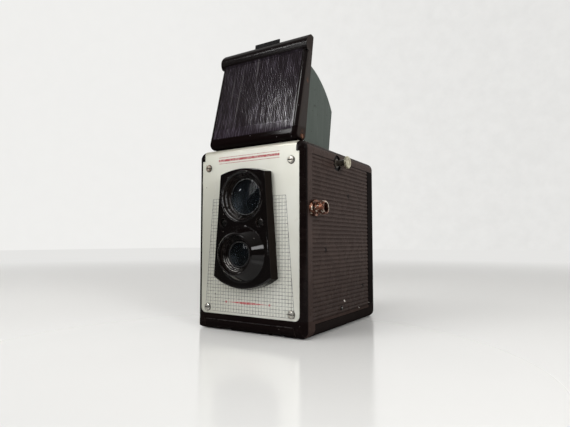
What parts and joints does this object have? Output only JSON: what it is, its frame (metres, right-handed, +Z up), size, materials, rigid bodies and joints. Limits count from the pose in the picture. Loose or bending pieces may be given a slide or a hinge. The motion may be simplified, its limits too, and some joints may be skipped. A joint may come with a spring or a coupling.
{
  "type": "twin lens box camera",
  "caption": "Upright moulded box camera with paired front lenses, ribbed sides, a folding waist-level finder hood and an opening back.",
  "frame": {"origin": "middle of the base, on the surface that the camera stands on", "axes": "+Z up, -Y the way the lenses look, +X to the right of someone who faces the lenses"},
  "size_m": [0.1025, 0.1273, 0.195],
  "materials": {
    "bakelite": "dark brown phenolic moulding, polished, worn to a satin on the ribs",
    "hood_bakelite": "near-black phenolic moulding with fine reeding",
    "front_sheet": "satin pale sheet with a printed grid of fine dark lines",
    "nickel": "dulled bright nickel",
    "lens_glass": "polished clear glass",
    "steel": "plain steel strip and wire",
    "black_sheet": "sheet steel, matt black lacquer",
    "hood_sheet": "sheet steel, crinkled grey-green paint",
    "brass": "brass, browned and spotted",
    "fibre": "red-brown vulcanised fibre",
    "mirror": "silvered glass",
    "spool_paint": "black painted sheet ends on a painted core",
    "ruby": "ruby celluloid"
  },
  "bodies": {
    "camera_body": {"body_shell": "bakelite", "lens_board": "bakelite", "front_plate": "front_sheet", "front_plate_screws": "nickel", "lens_board_screws": "nickel", "finder_lens_ring": "nickel", "taking_lens_ring": "nickel", "strap_studs": "nickel", "back_latch_screw": "nickel", "side_rivets": "nickel", "finder_lens": "lens_glass", "taking_lens": "lens_glass", "finder_glass": "lens_glass", "shutter_plate": "steel", "shutter_pivots": "steel", "lever_spring": "steel", "hood_pins": "steel", "spool_pins": "steel", "tension_springs": "steel", "ratchet_spring": "steel", "back_hinge_pin": "steel", "finder_box": "black_sheet", "finder_frame": "black_sheet", "film_carrier": "black_sheet", "flash_terminal": "brass", "flash_nut": "brass", "flash_contact": "brass", "winding_bush": "brass", "flash_insulator": "fibre", "finder_mirror": "mirror"},
    "hood": {"hood_lid": "hood_bakelite", "hood_shade": "hood_sheet", "hood_rivets": "nickel", "hood_tab": "black_sheet"},
    "back": {"back_cover": "bakelite", "red_window": "ruby", "pressure_plate": "black_sheet", "pressure_springs": "steel"},
    "winder": {"winding_knob": "bakelite", "winding_shaft": "steel", "ratchet_wheel": "steel", "takeup_spool": "spool_paint"},
    "release_lever": {"release_lever": "nickel"},
    "shutter_blade": {"shutter_blade": "black_sheet"},
    "time_lever": {"time_lever": "nickel"},
    "back_latch": {"back_latch": "nickel"}
  },
  "joints": [
    {"name": "hood_hinge", "type": "hinge", "parent": "camera_body", "child": "hood", "pos_m": [0, -0.0463, 0.1225], "axis": [-1, 0, 0], "range_deg": [0, 80.5]},
    {"name": "back_hinge", "type": "hinge", "parent": "camera_body", "child": "back", "pos_m": [0, -0.0496, 0.0062], "axis": [-1, 0, 0], "range_deg": [0, 90]},
    {"name": "film_wind", "type": "hinge", "parent": "camera_body", "child": "winder", "pos_m": [0, 0.0292, 0.096], "axis": [1, 0, 0], "continuous": true},
    {"name": "release_press", "type": "hinge", "parent": "camera_body", "child": "release_lever", "pos_m": [-0.0245, -0.0495, 0.052], "axis": [0, -1, 0], "range_deg": [0, 20], "stiffness_Nm_per_rad": 0.03, "springref_deg": -5.73},
    {"name": "blade_swing", "type": "hinge", "parent": "camera_body", "child": "shutter_blade", "pos_m": [-0.006, -0.0503, 0.037], "axis": [0, -1, 0], "range_deg": [-80, 0]},
    {"name": "time_setting", "type": "hinge", "parent": "camera_body", "child": "time_lever", "pos_m": [-0.0245, -0.0495, 0.064], "axis": [0, -1, 0], "range_deg": [0, 15]},
    {"name": "latch_turn", "type": "hinge", "parent": "camera_body", "child": "back_latch", "pos_m": [0, 0.0558, 0.1136], "axis": [0, -1, 0], "range_deg": [0, 90]}
  ],
  "couplings": [
    {"joint": "blade_swing", "follows": "release_press", "ratio": -4}
  ]
}
